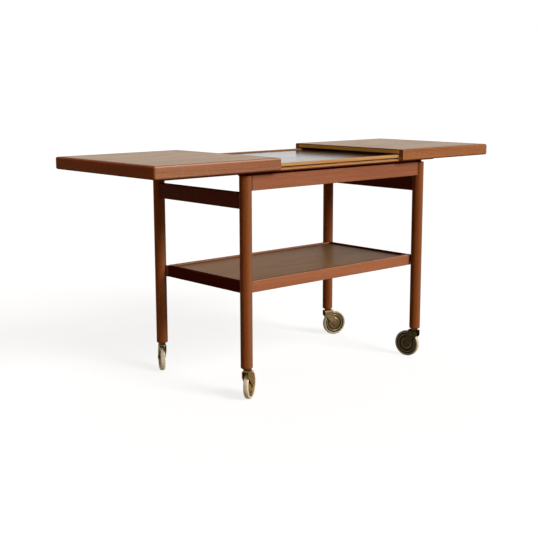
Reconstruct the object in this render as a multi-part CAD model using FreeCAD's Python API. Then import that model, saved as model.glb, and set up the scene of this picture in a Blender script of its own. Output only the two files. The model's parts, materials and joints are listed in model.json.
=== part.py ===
import FreeCAD, Part
import math
import os
from FreeCAD import Vector

# Sliding-leaf tea trolley, millimetres, +Z up.
# X runs along the trolley, -Y is the front, and the origin is on the floor
# under the middle of the four legs. Two leaves slide outward over a fixed
# centre board; each carries a tongue that runs in a groove in the board's edge.

# ---------------------------------------------------------------- sizes
# overall
table_height = 610.0
top_depth = 430.0
leg_spacing_x = 644.0
leg_spacing_y = 360.0

# leaves
leaf_length = 380.0
leaf_rail_height = 31.0
leaf_rail_thickness = 14.0
leaf_panel_thickness = 11.5
leaf_corner_radius = 7.0
leaf_arris_radius = 4.8
inner_lipping_width = 6.0
lipping_arris_radius = 0.8
left_leaf_opening = 236.0       # middle of the trolley to the leaf's inner edge
right_leaf_opening = 216.0
full_leaf_opening = 240.0
closed_leaf_gap = 0.5           # half the gap between the closed leaves

# centre board
board_lip_width = 14.0
board_lip_height = 18.5
board_lip_arris = 1.0
board_corner_radius = 2.0
laminate_thickness = 1.2
laminate_drop = 3.0             # laminate surface below the top of the lips
leaf_to_board_gap = 3.5         # panel underside above the lips
leaf_side_gap = 0.5             # lip face to leaf rail
board_end_gap = 1.5             # board end to end rail of a closed leaf

# tongue, groove and stop pin
groove_height = 5.0
groove_depth = 7.0
groove_above_lip_bottom = 6.5
groove_side_clearance = 0.25
groove_bottom_clearance = 0.8
tongue_seat_depth = 6.0
stop_pin_diameter = 2.5
stop_pin_inset = 22.0
stop_slot_depth = 4.0
stop_slot_clearance = 0.3

# legs and rails
leg_top_diameter = 31.2
leg_bottom_diameter = 30.8
leg_top_arris = 1.0
leg_foot_round = 4.0
shadow_gap = 6.5                # apron top to centre board
gap_strip_width = 8.0
apron_height = 37.5
apron_thickness = 20.0
apron_face_offset = 10.4        # leg axis to the apron's outer face
rail_arris_radius = 1.5
end_rail_height = 39.5
end_rail_thickness = 20.0
end_rail_drop = 5.0             # apron bottom to end rail top
cope_clearance = 0.05
batten_width = 32.0
batten_height = 26.0
batten_spacing = 240.0

# shelf
shelf_lip_bottom = 273.0
shelf_lip_height = 29.5
shelf_lip_thickness = 14.0
shelf_end_inset = 6.0           # leg axis to an end lip's outer face
shelf_side_inset = 12.4         # leg axis to a long lip's outer face
shelf_panel_thickness = 16.0
shelf_panel_drop = 4.0

# dowels and screws
dowel_diameter = 8.0
dowel_length = 38.0
dowel_axis_setback = 2.0        # dowel end to the leg's axis
dowel_edge_distance = 9.5
batten_dowel_length = 30.0
shelf_dowel_diameter = 6.0
shelf_dowel_length = 24.0
shelf_dowel_edge = 8.0
screw_diameter = 4.0
screw_head_diameter = 8.0
screw_head_depth = 2.4
board_screw_length = 38.0
board_screw_spacing = 220.0
shelf_screw_length = 30.0
shelf_screw_clearance = 0.5      # screw head to the underside of the shelf panel

# castors
wheel_diameter = 75.0
castor_trail = 23.5
fork_crown_clearance = 3.5      # tyre to the underside of the fork's bridge
fork_width = 20.0
fork_sheet = 2.0
fork_bend_radius = 4.0
fork_lead = 11.8
fork_tail = 16.0
fork_lead_drop = 17.0
fork_tail_drop = 9.0
fork_boss_radius = 6.6
fork_corner_radius = 9.0
fork_tail_radius = 10.0
axle_diameter = 6.0
axle_head_diameter = 9.0
axle_head_height = 0.8
axle_head_round = 0.6
axle_clearance = 0.05
hub_end_clearance = 0.3
hub_radius = 6.0
wheel_core_radius = 33.0
wheel_core_width = 8.8
tyre_width = 13.5
tyre_inner_radius = 31.0
tyre_shoulder_radius = 3.2
tyre_tread_crown = 0.35
tyre_bead_inset = 1.2           # sidewall below the tyre's full width, at its inner edge
tyre_bulge_rise = 1.6           # where the sidewall is almost at full width
tyre_bulge_inset = 0.25

# pressed face of the wheel: radii from the axle, heights from the valley round the dome
dome_height = 4.3               # valley to the hub's end
hub_shoulder_width = 2.0
hub_shoulder_drop = 0.7
dome_crown_radius = 14.5
dome_crown_height = 2.6
dome_edge_radius = 20.0
valley_radius = 21.4
valley_dip = 0.4
bead_inner_radius = 22.6
bead_inner_height = 0.2
bead_radius = 25.4
bead_height = 2.0
bead_outer_radius = 28.2
bead_outer_height = 0.4
rim_groove_radius = 29.6
rim_groove_height = 0.1
stem_diameter = 11.0
stem_length = 35.0
stem_end_round = 2.0
stem_ring_groove_depth = 0.8
stem_ring_groove_width = 3.0
stem_ring_groove_offset = 7.0
stem_collar_diameter = 17.0
stem_collar_height = 3.2
stem_tenon_diameter = 10.0
stem_rivet_diameter = 11.6
stem_rivet_height = 1.6
stem_clearance = 0.06
thrust_gap = 0.3
socket_wall = 1.0
socket_flange_thickness = 1.5
socket_flange_diameter = 20.0
socket_end_gap = 2.0

# swivel angle of each castor: where its wheel trails, degrees from +X
castor_angle = {
    "front_left": 33.3,
    "front_right": 102.0,
    "back_left": 60.5,
    "back_right": 342.0,
}

# which side of the trolley each leg stands on
leg_side = {
    "front_left": (-1, -1),
    "front_right": (1, -1),
    "back_left": (-1, 1),
    "back_right": (1, 1),
}

# ---------------------------------------------------------------- levels
leaf_rail_bottom = table_height - leaf_rail_height
leaf_panel_bottom = table_height - leaf_panel_thickness
board_lip_top = leaf_panel_bottom - leaf_to_board_gap
board_lip_bottom = board_lip_top - board_lip_height
laminate_top = board_lip_top - laminate_drop
laminate_bottom = laminate_top - laminate_thickness
groove_bottom_z = board_lip_bottom + groove_above_lip_bottom
groove_middle_z = groove_bottom_z + groove_height / 2
apron_top = board_lip_bottom - shadow_gap
apron_bottom = apron_top - apron_height
end_rail_top = apron_bottom - end_rail_drop
end_rail_bottom = end_rail_top - end_rail_height
batten_bottom = board_lip_bottom - batten_height
shelf_lip_top = shelf_lip_bottom + shelf_lip_height
shelf_panel_top = shelf_lip_top - shelf_panel_drop
shelf_panel_bottom = shelf_panel_top - shelf_panel_thickness
shelf_screw_z = shelf_panel_bottom - shelf_screw_clearance - screw_head_diameter / 2
axle_height = wheel_diameter / 2
fork_top_height = wheel_diameter + fork_crown_clearance + fork_sheet
stem_collar_top = fork_top_height + stem_collar_height
socket_flange_bottom = stem_collar_top + thrust_gap
castor_height = socket_flange_bottom + socket_flange_thickness

# ---------------------------------------------------------------- plan sizes
leg_x = leg_spacing_x / 2
leg_y = leg_spacing_y / 2
half_depth = top_depth / 2
rail_inner_y = half_depth - leaf_rail_thickness
lip_face_y = rail_inner_y - leaf_side_gap
lip_inner_y = lip_face_y - board_lip_width
groove_end_y = lip_face_y - groove_depth
board_half_length = closed_leaf_gap + leaf_length - leaf_rail_thickness - board_end_gap
core_half_length = board_half_length - board_lip_width
apron_outer_y = leg_y + apron_face_offset
apron_inner_y = apron_outer_y - apron_thickness
shelf_half_width = leg_x - shelf_end_inset
shelf_half_depth = leg_y - shelf_side_inset
shelf_inner_y = shelf_half_depth - shelf_lip_thickness
shelf_inner_x = shelf_half_width - shelf_lip_thickness

OVERCUT = 1.0                   # how far a cutting body runs past a face
HALF_TURN = 180.0
X_AXIS = Vector(1, 0, 0)
Y_AXIS = Vector(0, 1, 0)
Z_AXIS = Vector(0, 0, 1)
ORIGIN = Vector(0, 0, 0)


# ---------------------------------------------------------------- helpers
def block(x0, x1, y0, y1, z0, z1):
    """A box between three pairs of limits, given in either order."""
    low = Vector(min(x0, x1), min(y0, y1), min(z0, z1))
    return Part.makeBox(abs(x1 - x0), abs(y1 - y0), abs(z1 - z0), low)


def rod(radius, start, end):
    """A round bar from one point to another."""
    along = end - start
    return Part.makeCylinder(radius, along.Length, start, along)


def prism(points, z0, z1):
    """A flat outline in X and Y, raised from z0 to z1."""
    corners = [Vector(x, y, z0) for x, y in points]
    face = Part.Face(Part.makePolygon(corners + [corners[0]]))
    return face.extrude(Vector(0, 0, z1 - z0))


def mirror_x(shape):
    return shape.mirror(ORIGIN, X_AXIS)


def mirror_y(shape):
    return shape.mirror(ORIGIN, Y_AXIS)


def rounded(shape, radius, wanted):
    """Round the edges whose middle point passes the test."""
    edges = []
    for edge in shape.Edges:
        middle = edge.valueAt((edge.FirstParameter + edge.LastParameter) / 2)
        if wanted(middle):
            edges.append(edge)
    return shape.makeFillet(radius, edges)


def near(a, b):
    tolerance = 0.01
    return abs(a - b) < tolerance


def cut_all(shape, tools):
    for tool in tools:
        shape = shape.cut(tool)
    return shape


def export(name, shapes):
    """Write one node: a single solid, or a group of separate solids."""
    solids = []
    for shape in shapes:
        solids.extend(shape.Solids)
    result = solids[0] if len(solids) == 1 else Part.makeCompound(solids)
    result.exportStep(os.path.join("parts", name + ".step"))


def screw(head_centre, direction, length):
    """A countersunk screw: its flat head is at head_centre, its point away from it."""
    shank = rod(screw_diameter / 2, head_centre, head_centre + direction * length)
    head = Part.makeCone(screw_head_diameter / 2, screw_diameter / 2,
                         screw_head_depth, head_centre, direction)
    return head.fuse(shank).removeSplitter()


# ---------------------------------------------------------------- legs and frame
def leg_blank(name, extra=0.0):
    """The turned, slightly tapered leg; extra makes it larger all round."""
    side_x, side_y = leg_side[name]
    foot = Vector(side_x * leg_x, side_y * leg_y, castor_height)
    return Part.makeCone(leg_bottom_diameter / 2 + extra, leg_top_diameter / 2 + extra,
                         apron_top - castor_height, foot, Z_AXIS)


def coped(shape):
    """Cut a rail so that its ends fit round the legs."""
    return cut_all(shape, [leg_blank(name, cope_clearance) for name in leg_side])


def apron():
    """The back apron; the front one is its mirror image."""
    bar = block(-leg_x, leg_x, apron_inner_y, apron_outer_y, apron_bottom, apron_top)
    bar = rounded(bar, rail_arris_radius,
                  lambda p: near(p.x, 0) and near(p.y, apron_outer_y))
    return coped(bar)


def end_rail():
    """The right end rail, centred on the leg axes."""
    half = end_rail_thickness / 2
    bar = block(leg_x - half, leg_x + half, -leg_y, leg_y, end_rail_bottom, end_rail_top)
    bar = rounded(bar, rail_arris_radius, lambda p: near(p.y, 0))
    return coped(bar)


def batten(side):
    """A cross batten between the aprons, screwed up into the centre board."""
    x = side * batten_spacing / 2
    half = batten_width / 2
    return block(x - half, x + half, -apron_inner_y, apron_inner_y,
                 batten_bottom, board_lip_bottom)


def gap_strip():
    """The back strip that carries the centre board, set back from the apron's face."""
    reach = leg_x + leg_top_diameter / 2
    return block(-reach, reach, apron_inner_y, apron_inner_y + gap_strip_width,
                 apron_top, board_lip_bottom)


def frame_dowels():
    """Two dowels in each end of each apron and end rail, and one in each batten end."""
    dowels = []
    radius = dowel_diameter / 2
    apron_y = apron_outer_y - apron_thickness / 2
    apron_levels = (apron_bottom + dowel_edge_distance, apron_top - dowel_edge_distance)
    rail_levels = (end_rail_bottom + dowel_edge_distance, end_rail_top - dowel_edge_distance)
    for side_x, side_y in leg_side.values():
        outer = leg_x - dowel_axis_setback
        for z in apron_levels:
            y = side_y * apron_y
            dowels.append(rod(radius, Vector(side_x * outer, y, z),
                              Vector(side_x * (outer - dowel_length), y, z)))
        outer = leg_y - dowel_axis_setback
        for z in rail_levels:
            x = side_x * leg_x
            dowels.append(rod(radius, Vector(x, side_y * outer, z),
                              Vector(x, side_y * (outer - dowel_length), z)))
        x = side_x * batten_spacing / 2
        z = (batten_bottom + apron_top) / 2
        middle = apron_inner_y
        reach = batten_dowel_length / 2
        dowels.append(rod(radius, Vector(x, side_y * (middle + min(reach, apron_thickness / 2)), z),
                          Vector(x, side_y * (middle - reach), z)))
    return dowels


def board_screws():
    """Screws up through the battens into the centre board."""
    screws = []
    for side_x in (-1, 1):
        for side_y in (-1, 1):
            head = Vector(side_x * batten_spacing / 2, side_y * board_screw_spacing / 2,
                          batten_bottom)
            screws.append(screw(head, Z_AXIS, board_screw_length))
    return screws


# ---------------------------------------------------------------- shelf
def shelf_lip():
    """The back shelf lip: it runs from leg to leg and is coped round both."""
    bar = block(-shelf_half_width, shelf_half_width, shelf_inner_y, shelf_half_depth,
                shelf_lip_bottom, shelf_lip_top)
    bar = rounded(bar, rail_arris_radius,
                  lambda p: near(p.x, 0) and (near(p.z, shelf_lip_top) or near(p.y, shelf_half_depth)))
    return coped(bar)


def shelf_end_lip():
    """The right end lip, between the front and back lips."""
    bar = block(shelf_inner_x, shelf_half_width, -shelf_inner_y, shelf_inner_y,
                shelf_lip_bottom, shelf_lip_top)
    return rounded(bar, rail_arris_radius,
                   lambda p: near(p.y, 0) and (near(p.z, shelf_lip_top) or near(p.x, shelf_half_width)))


def shelf_panel():
    return block(-shelf_inner_x, shelf_inner_x, -shelf_inner_y, shelf_inner_y,
                 shelf_panel_bottom, shelf_panel_top)


def shelf_dowels():
    """A dowel at each corner, from the end lip into the long lip, above the corner's screw."""
    dowels = []
    half = shelf_dowel_length / 2
    reach = min(half, shelf_lip_thickness - shelf_dowel_diameter / 2)
    x = shelf_half_width - shelf_lip_thickness / 2
    z = shelf_lip_top - shelf_dowel_edge
    for side_x, side_y in leg_side.values():
        dowels.append(rod(shelf_dowel_diameter / 2,
                          Vector(side_x * x, side_y * (shelf_inner_y + reach), z),
                          Vector(side_x * x, side_y * (shelf_inner_y - half), z)))
    return dowels


def shelf_screw_places():
    """Where each screw's head sits in an inner corner below the panel, and its way to the leg."""
    places = []
    for side_x, side_y in leg_side.values():
        corner = Vector(side_x * shelf_inner_x, side_y * shelf_inner_y, shelf_screw_z)
        leg_axis = Vector(side_x * leg_x, side_y * leg_y, shelf_screw_z)
        places.append((corner, (leg_axis - corner).normalize()))
    return places


def shelf_screws():
    """One screw from each inner corner of the shelf's lips into the leg."""
    return [screw(corner, to_leg, shelf_screw_length) for corner, to_leg in shelf_screw_places()]


def shelf_screw_pockets():
    """Short bores that let the heads of the shelf screws into the corners."""
    return [rod(screw_head_diameter / 2, corner - to_leg * screw_head_diameter, corner)
            for corner, to_leg in shelf_screw_places()]


# ---------------------------------------------------------------- centre board
def mitre_regions(half_x, half_y, inner_x, inner_y, z0, z1):
    """Four wedges that split a rectangular edging at its mitred corners."""
    out_x = half_x + OVERCUT
    out_y = half_y + OVERCUT
    back = prism([(-out_x, out_y), (out_x, out_y), (inner_x, inner_y), (-inner_x, inner_y)], z0, z1)
    right = prism([(out_x, -out_y), (out_x, out_y), (inner_x, inner_y), (inner_x, -inner_y)], z0, z1)
    return {"back": back, "front": mirror_y(back), "right": right, "left": mirror_x(right)}


def board_edging():
    """The four mitred lips of the centre board, with the two leaf grooves."""
    ring = block(-board_half_length, board_half_length, -lip_face_y, lip_face_y,
                 board_lip_bottom, board_lip_top)
    ring = rounded(ring, board_corner_radius,
                   lambda p: near(abs(p.x), board_half_length) and near(abs(p.y), lip_face_y))
    ring = rounded(ring, board_lip_arris, lambda p: near(p.z, board_lip_top))
    ring = ring.cut(block(-core_half_length, core_half_length, -lip_inner_y, lip_inner_y,
                          board_lip_bottom - OVERCUT, board_lip_top + OVERCUT))
    pin_radius = stop_pin_diameter / 2
    slot_start = closed_leaf_gap + stop_pin_inset - pin_radius - stop_slot_clearance
    slot_end = full_leaf_opening + stop_pin_inset + pin_radius + stop_slot_clearance
    slot_half = pin_radius + stop_slot_clearance
    groove = block(-board_half_length - OVERCUT, board_half_length + OVERCUT,
                   groove_end_y, lip_face_y + OVERCUT,
                   groove_bottom_z, groove_bottom_z + groove_height)
    slot = block(slot_start, slot_end, groove_end_y - stop_slot_depth, groove_end_y + OVERCUT,
                 groove_middle_z - slot_half, groove_middle_z + slot_half)
    for tool in (groove, slot, mirror_x(slot)):
        ring = ring.cut(tool).cut(mirror_y(tool))
    regions = mitre_regions(board_half_length, lip_face_y, core_half_length, lip_inner_y,
                            board_lip_bottom - OVERCUT, board_lip_top + OVERCUT)
    return {side: ring.common(region) for side, region in regions.items()}


def board_core():
    return block(-core_half_length, core_half_length, -lip_inner_y, lip_inner_y,
                 board_lip_bottom, laminate_bottom)


def board_laminate():
    return block(-core_half_length, core_half_length, -lip_inner_y, lip_inner_y,
                 laminate_bottom, laminate_top)


# ---------------------------------------------------------------- leaves
def back_tongue():
    """The strip glued into the back rail of a leaf whose inner edge is at x = 0."""
    outer_y = rail_inner_y + tongue_seat_depth
    tip_y = groove_end_y + groove_bottom_clearance
    return block(0, leaf_length - leaf_rail_thickness, tip_y, outer_y,
                 groove_bottom_z + groove_side_clearance,
                 groove_bottom_z + groove_height - groove_side_clearance)


def back_stop_pin():
    """The pin through the tongue that runs in the slot behind the groove."""
    tip_y = groove_end_y - stop_slot_depth + stop_slot_clearance
    return rod(stop_pin_diameter / 2,
               Vector(stop_pin_inset, rail_inner_y + tongue_seat_depth, groove_middle_z),
               Vector(stop_pin_inset, tip_y, groove_middle_z))


def leaf_pieces():
    """The pieces of the right leaf, with its inner edge at x = 0."""
    outer = block(0, leaf_length, -half_depth, half_depth, leaf_rail_bottom, table_height)
    outer = rounded(outer, leaf_corner_radius,
                    lambda p: near(p.x, leaf_length) and near(abs(p.y), half_depth))
    outer = rounded(outer, leaf_arris_radius,
                    lambda p: not near(p.x, 0) and (near(p.z, table_height) or near(p.z, leaf_rail_bottom)))
    inner_x = leaf_length - leaf_rail_thickness
    ring = outer.cut(block(-OVERCUT, inner_x, -rail_inner_y, rail_inner_y,
                           leaf_rail_bottom - OVERCUT, table_height + OVERCUT))
    low = leaf_rail_bottom - OVERCUT
    high = table_height + OVERCUT
    back_region = prism([(-OVERCUT, half_depth + OVERCUT),
                         (leaf_length + OVERCUT, half_depth + OVERCUT),
                         (inner_x, rail_inner_y), (-OVERCUT, rail_inner_y)], low, high)
    end_region = prism([(inner_x, -rail_inner_y),
                        (leaf_length + OVERCUT, -half_depth - OVERCUT),
                        (leaf_length + OVERCUT, half_depth + OVERCUT),
                        (inner_x, rail_inner_y)], low, high)
    tongue = back_tongue()
    pin = back_stop_pin()
    rail_back = ring.common(back_region).cut(tongue)
    lipping = block(0, inner_lipping_width, -rail_inner_y, rail_inner_y,
                    leaf_panel_bottom, table_height)
    lipping = rounded(lipping, lipping_arris_radius, lambda p: near(p.x, 0) and near(p.y, 0))
    panel = block(inner_lipping_width, inner_x, -rail_inner_y, rail_inner_y,
                  leaf_panel_bottom, table_height)
    tongue = tongue.cut(pin)
    return {
        "panel": [panel],
        "inner_lipping": [lipping],
        "rail_back": [rail_back],
        "rail_front": [mirror_y(rail_back)],
        "rail_end": [ring.common(end_region)],
        "tongues": [tongue, mirror_y(tongue)],
        "stop_pins": [pin, mirror_y(pin)],
    }


def place_leaf(side, shapes):
    """Move a leaf piece to where the right (1) or left (-1) leaf stands."""
    if side > 0:
        return [shape.translated(Vector(right_leaf_opening, 0, 0)) for shape in shapes]
    return [mirror_x(shape).translated(Vector(-left_leaf_opening, 0, 0)) for shape in shapes]


# ---------------------------------------------------------------- castors
# A castor is built with its swivel axis on Z and its wheel trailing towards +X,
# then turned and moved under its leg.
def tangent_point(point, centre, radius, turn):
    """Where a line from the point touches the circle; turn picks the side."""
    away = point - centre
    reach = math.degrees(math.acos(radius / away.Length))
    spin = FreeCAD.Rotation(Y_AXIS, turn * reach)
    return centre + spin.multVec(away) * (radius / away.Length)


def cheek_outline():
    """Side view of the fork, as a solid across its whole width."""
    centre = Vector(castor_trail, 0, axle_height)
    top_lead = Vector(-fork_lead, 0, fork_top_height)
    top_tail = Vector(fork_tail, 0, fork_top_height)
    tail = Vector(fork_tail, 0, fork_top_height - fork_tail_drop)
    lead = Vector(-fork_lead, 0, fork_top_height - fork_lead_drop)
    tail_touch = tangent_point(tail, centre, fork_boss_radius, 1)
    lead_touch = tangent_point(lead, centre, fork_boss_radius, -1)
    inward = (top_lead - centre) + (top_tail - centre)
    low = centre - inward * (fork_boss_radius / inward.Length)
    edges = [
        Part.makeLine(top_lead, top_tail),
        Part.makeLine(top_tail, tail),
        Part.makeLine(tail, tail_touch),
        Part.Arc(tail_touch, low, lead_touch).toShape(),
        Part.makeLine(lead_touch, lead),
        Part.makeLine(lead, top_lead),
    ]
    face = Part.Face(Part.Wire(edges))
    solid = face.extrude(Vector(0, fork_width + 2 * OVERCUT, 0))
    solid.translate(Vector(0, -fork_width / 2 - OVERCUT, 0))
    solid = rounded(solid, fork_corner_radius, lambda p: near(p.x, lead.x) and near(p.z, lead.z))
    return rounded(solid, fork_tail_radius, lambda p: near(p.x, tail.x) and near(p.z, tail.z))


def fork():
    """A bent U of sheet metal, trimmed to the outline of its two cheeks."""
    half = fork_width / 2
    reach = castor_trail + wheel_diameter
    outer = block(-reach, reach, -half, half, 0, fork_top_height)
    outer = rounded(outer, fork_bend_radius,
                    lambda p: near(p.z, fork_top_height) and near(abs(p.y), half))
    inner_top = fork_top_height - fork_sheet
    inner_half = half - fork_sheet
    inner = block(-reach - OVERCUT, reach + OVERCUT, -inner_half, inner_half, -OVERCUT, inner_top)
    inner = rounded(inner, fork_bend_radius - fork_sheet,
                    lambda p: near(p.z, inner_top) and near(abs(p.y), inner_half))
    shape = outer.cut(inner).common(cheek_outline())
    stem_hole = rod(stem_tenon_diameter / 2, Vector(0, 0, inner_top - OVERCUT),
                    Vector(0, 0, fork_top_height + OVERCUT))
    axle_hole = rod(axle_diameter / 2, Vector(castor_trail, -half - OVERCUT, axle_height),
                    Vector(castor_trail, half + OVERCUT, axle_height))
    return shape.cut(stem_hole).cut(axle_hole)


def stem():
    """The pivot pin: rivet head, tenon through the fork, thrust collar and grooved stem."""
    plate_bottom = fork_top_height - fork_sheet
    radius = stem_diameter / 2
    top = stem_collar_top + stem_length
    ring_top = top - stem_ring_groove_offset
    ring_bottom = ring_top - stem_ring_groove_width
    profile = [
        (0, plate_bottom - stem_rivet_height),
        (stem_rivet_diameter / 2 - stem_rivet_height / 2, plate_bottom - stem_rivet_height),
        (stem_rivet_diameter / 2, plate_bottom),
        (stem_tenon_diameter / 2, plate_bottom),
        (stem_tenon_diameter / 2, fork_top_height),
        (stem_collar_diameter / 2, fork_top_height),
        (stem_collar_diameter / 2, stem_collar_top),
        (radius, stem_collar_top),
        (radius, ring_bottom),
        (radius - stem_ring_groove_depth, ring_bottom),
        (radius - stem_ring_groove_depth, ring_top),
        (radius, ring_top),
        (radius, top - stem_end_round),
        (radius - stem_end_round, top),
        (0, top),
    ]
    corners = [Vector(r, 0, z) for r, z in profile]
    face = Part.Face(Part.makePolygon(corners + [corners[0]]))
    return face.revolve(ORIGIN, Z_AXIS, 2 * HALF_TURN)


def socket():
    """A flanged cup driven into the leg's foot; the stem turns in it."""
    inner = stem_diameter / 2 + stem_clearance
    outer = inner + socket_wall
    cup_top = stem_collar_top + stem_length + socket_end_gap
    shape = rod(outer, Vector(0, 0, castor_height), Vector(0, 0, cup_top + socket_wall))
    flange = rod(socket_flange_diameter / 2, Vector(0, 0, socket_flange_bottom),
                 Vector(0, 0, castor_height))
    bore = rod(inner, Vector(0, 0, socket_flange_bottom - OVERCUT), Vector(0, 0, cup_top))
    return shape.fuse(flange).removeSplitter().cut(bore)


def socket_hole():
    """The hole that the cup fills in a leg."""
    outer = stem_diameter / 2 + stem_clearance + socket_wall
    cup_top = stem_collar_top + stem_length + socket_end_gap + socket_wall
    return rod(outer, Vector(0, 0, castor_height - OVERCUT), Vector(0, 0, cup_top))


def axle():
    """A riveted axle: a plain pin with a low domed head outside each cheek."""
    half = fork_width / 2
    crown = half + axle_head_height
    shape = rod(axle_diameter / 2, Y_AXIS * -crown, Y_AXIS * crown)
    for side in (-1, 1):
        shape = shape.fuse(rod(axle_head_diameter / 2, Y_AXIS * (side * half),
                               Y_AXIS * (side * crown)))
    shape = rounded(shape.removeSplitter(), axle_head_round, lambda p: near(abs(p.y), crown))
    return shape.translated(Vector(castor_trail, 0, axle_height))


def both_sides(half_edges):
    """Close a half profile, drawn from its inner end to its outer end, with its mirror image."""
    half = Part.Wire(half_edges)
    other = half.mirror(ORIGIN, Y_AXIS)
    return Part.Face(Part.Wire(half.Edges + other.Edges))


def wheel_disc():
    """The pressed wheel: hub, domed middle, raised bead and the rim that grips the tyre."""
    hub_half = fork_width / 2 - fork_sheet - hub_end_clearance
    bore = axle_diameter / 2 + axle_clearance
    rim_half = wheel_core_width / 2
    valley = hub_half - dome_height
    dome_start = Vector(hub_radius + hub_shoulder_width, hub_half - hub_shoulder_drop, 0)
    dome_crown = Vector(dome_crown_radius, valley + dome_crown_height, 0)
    dome_end = Vector(dome_edge_radius, valley, 0)
    valley_floor = Vector(valley_radius, valley - valley_dip, 0)
    bead_start = Vector(bead_inner_radius, valley + bead_inner_height, 0)
    bead_crest = Vector(bead_radius, valley + bead_height, 0)
    bead_end = Vector(bead_outer_radius, valley + bead_outer_height, 0)
    rim_groove = Vector(rim_groove_radius, valley + rim_groove_height, 0)
    rim_start = Vector(tyre_inner_radius, rim_half, 0)
    rim_end = Vector(wheel_core_radius, rim_half, 0)
    edges = [
        Part.makeLine(Vector(bore, 0, 0), Vector(bore, hub_half, 0)),
        Part.makeLine(Vector(bore, hub_half, 0), Vector(hub_radius, hub_half, 0)),
        Part.makeLine(Vector(hub_radius, hub_half, 0), dome_start),
        Part.Arc(dome_start, dome_crown, dome_end).toShape(),
        Part.Arc(dome_end, valley_floor, bead_start).toShape(),
        Part.Arc(bead_start, bead_crest, bead_end).toShape(),
        Part.Arc(bead_end, rim_groove, rim_start).toShape(),
        Part.makeLine(rim_start, rim_end),
        Part.makeLine(rim_end, Vector(wheel_core_radius, 0, 0)),
    ]
    shape = both_sides(edges).revolve(ORIGIN, Y_AXIS, 2 * HALF_TURN)
    return shape.translated(Vector(castor_trail, 0, axle_height))


def tyre():
    """The rubber tyre, with rounded shoulders and a slightly crowned tread."""
    outer = wheel_diameter / 2
    half = tyre_width / 2
    rim_half = wheel_core_width / 2
    tread_radius = outer - tyre_tread_crown
    shoulder = Vector(tread_radius - tyre_shoulder_radius, half - tyre_shoulder_radius, 0)
    diagonal = tyre_shoulder_radius * math.sqrt(0.5)
    wall_top = shoulder + Vector(0, tyre_shoulder_radius, 0)
    tread_edge = shoulder + Vector(tyre_shoulder_radius, 0, 0)
    bulge = Vector(tyre_inner_radius + tyre_bulge_rise, half - tyre_bulge_inset, 0)
    bead = Vector(tyre_inner_radius, half - tyre_bead_inset, 0)
    seat_end = Vector(wheel_core_radius, rim_half, 0)
    seat_lip = Vector(tyre_inner_radius, rim_half, 0)
    edges = [
        Part.makeLine(Vector(wheel_core_radius, 0, 0), seat_end),
        Part.makeLine(seat_end, seat_lip),
        Part.makeLine(seat_lip, bead),
        Part.Arc(bead, bulge, wall_top).toShape(),
        Part.Arc(wall_top, shoulder + Vector(diagonal, diagonal, 0), tread_edge).toShape(),
    ]
    half_wire = Part.Wire(edges)
    other = half_wire.mirror(ORIGIN, Y_AXIS)
    crown = Part.Arc(tread_edge, Vector(outer, 0, 0), Vector(tread_radius, -tread_edge.y, 0)).toShape()
    face = Part.Face(Part.Wire(Part.__sortEdges__(half_wire.Edges + [crown] + other.Edges)))
    shape = face.revolve(ORIGIN, Y_AXIS, 2 * HALF_TURN)
    return shape.translated(Vector(castor_trail, 0, axle_height))


def place_castor(name, shape, angle=None):
    """Turn a castor piece to its swivel angle and stand it under its leg."""
    side_x, side_y = leg_side[name]
    turned = shape.copy()
    turned.rotate(ORIGIN, Z_AXIS, castor_angle[name] if angle is None else angle)
    return turned.translated(Vector(side_x * leg_x, side_y * leg_y, 0))


# ---------------------------------------------------------------- build
def build_frame():
    dowels = frame_dowels()
    top_screws = board_screws()
    fixings = shelf_screws()
    pegs = shelf_dowels()
    for name in leg_side:
        leg = leg_blank(name)
        leg = rounded(leg, leg_foot_round, lambda p: near(p.z, castor_height))
        leg = rounded(leg, leg_top_arris, lambda p: near(p.z, apron_top))
        leg = leg.cut(place_castor(name, socket_hole(), 0))
        export("leg_" + name, [cut_all(leg, dowels + fixings)])
    back_apron = cut_all(apron(), dowels)
    export("apron_back", [back_apron])
    export("apron_front", [mirror_y(back_apron)])
    right_rail = cut_all(end_rail(), dowels)
    export("end_rail_right", [right_rail])
    export("end_rail_left", [mirror_x(right_rail)])
    export("cross_battens", [cut_all(batten(side), dowels + top_screws) for side in (-1, 1)])
    strip = gap_strip()
    export("gap_strips", [strip, mirror_y(strip)])
    export("frame_dowels", dowels)
    export("board_screws", top_screws)
    export("castor_sockets", [place_castor(name, socket(), 0) for name in leg_side])

    pockets = shelf_screw_pockets()
    back_lip = cut_all(shelf_lip(), fixings + pockets + pegs)
    export("shelf_lip_back", [back_lip])
    export("shelf_lip_front", [mirror_y(back_lip)])
    right_lip = cut_all(shelf_end_lip(), fixings + pockets + pegs)
    export("shelf_lip_right", [right_lip])
    export("shelf_lip_left", [mirror_x(right_lip)])
    export("shelf_panel", [shelf_panel()])
    export("shelf_dowels", pegs)
    export("shelf_screws", fixings)

    for side, lip in board_edging().items():
        export("board_lip_" + side, [lip])
    export("board_core", [cut_all(board_core(), top_screws)])
    export("board_laminate", [board_laminate()])


def build_leaves():
    pieces = leaf_pieces()
    for leaf, side in (("left", -1), ("right", 1)):
        for name, shapes in pieces.items():
            export("leaf_" + leaf + "_" + name, place_leaf(side, shapes))


def build_castors():
    pieces = {"fork": fork(), "stem": stem(), "axle": axle(), "wheel": wheel_disc(), "tyre": tyre()}
    for name in leg_side:
        for piece, shape in pieces.items():
            export("castor_" + name + "_" + piece, [place_castor(name, shape)])


os.makedirs("parts", exist_ok=True)
build_frame()
build_leaves()
build_castors()
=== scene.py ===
"""Sliding-leaf tea trolley: finishes, screws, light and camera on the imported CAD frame.

Metres. +X runs along the trolley, +Y to its back, +Z up. Colours are linear.
"""
import json
import math

import bmesh
import bpy
from mathutils import Matrix, Vector


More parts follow.
